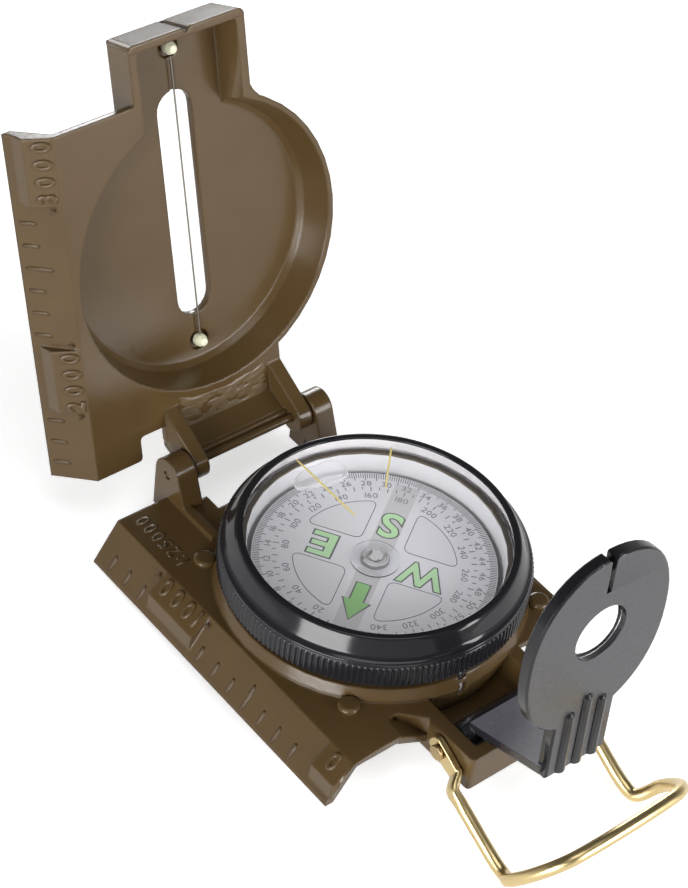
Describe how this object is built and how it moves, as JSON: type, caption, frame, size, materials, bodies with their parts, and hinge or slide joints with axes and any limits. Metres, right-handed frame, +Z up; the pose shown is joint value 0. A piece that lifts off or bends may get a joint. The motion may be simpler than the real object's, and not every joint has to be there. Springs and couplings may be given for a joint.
{
  "type": "lensatic compass",
  "caption": "Folding lensatic compass: hinged sighting cover, turning bezel, liquid capsule with floating dial, lens bracket, wire thumb loop and a map ruler edge.",
  "frame": {"origin": "centre of the base's underside, on the map plane, under the centre of the dial", "axes": "+Z up, +Y from the lens bracket towards the cover hinge, +X to the right with the ruler edge on -X"},
  "size_m": [0.0571, 0.1278, 0.0867],
  "materials": {
    "body_paint": "satin olive-brown paint",
    "bezel_black": "glossy black",
    "bracket_black": "satin grey-black",
    "loop_brass": "bright brass",
    "post_brass": "turned brass",
    "spring_steel": "bright spring steel",
    "cap_steel": "bright turned metal",
    "magnet_steel": "dark grey",
    "capsule_white": "white",
    "card_white": "silvery white with printed dial",
    "clear": "clear, polished",
    "jewel": "polished red jewel",
    "gasket_rubber": "matt black",
    "index_yellow": "luminous yellow",
    "bead_glow": "luminous cream"
  },
  "bodies": {
    "base": {"base_body": "body_paint", "base_plate": "body_paint", "base_rivet_1": "body_paint", "base_rivet_2": "body_paint", "base_rivet_3": "body_paint", "base_rivet_4": "body_paint", "hinge_pin": "body_paint", "front_pin": "body_paint", "detent_spring": "spring_steel", "bezel_snap_ring": "spring_steel", "capsule_cup": "capsule_white", "capsule_gasket": "gasket_rubber", "capsule_lid": "clear", "fill_plug": "capsule_white", "pivot_post": "post_brass"},
    "bezel": {"bezel_ring": "bezel_black", "crystal": "clear", "index_line_long": "index_yellow", "index_line_short": "index_yellow"},
    "dial": {"dial_card": "card_white", "dial_magnet": "magnet_steel", "jewel_cap": "cap_steel", "jewel_bearing": "jewel"},
    "cover_lid": {"cover": "body_paint", "sighting_wire": "spring_steel", "wire_anchor_upper": "bead_glow", "wire_anchor_lower": "bead_glow"},
    "lens_arm": {"lens_bracket": "bracket_black", "lens": "clear"},
    "loop": {"thumb_loop": "loop_brass"}
  },
  "joints": [
    {"name": "cover_hinge", "type": "hinge", "parent": "base", "child": "cover_lid", "pos_m": [0, 0.03443, 0.01255], "axis": [-1, 0, 0], "range_deg": [-105, 75]},
    {"name": "bezel_turn", "type": "hinge", "parent": "base", "child": "bezel", "pos_m": [0, 0, 0.0125], "axis": [0, 0, 1], "continuous": true},
    {"name": "dial_turn", "type": "hinge", "parent": "base", "child": "dial", "pos_m": [0, 0, 0.0135], "axis": [0, 0, 1], "continuous": true},
    {"name": "lens_fold", "type": "hinge", "parent": "base", "child": "lens_arm", "pos_m": [0, -0.032, 0.0052], "axis": [-1, 0, 0], "range_deg": [0, 87.6]},
    {"name": "loop_swing", "type": "hinge", "parent": "base", "child": "loop", "pos_m": [0, -0.032, 0.0052], "axis": [-1, 0, 0], "range_deg": [-72, 47]}
  ]
}
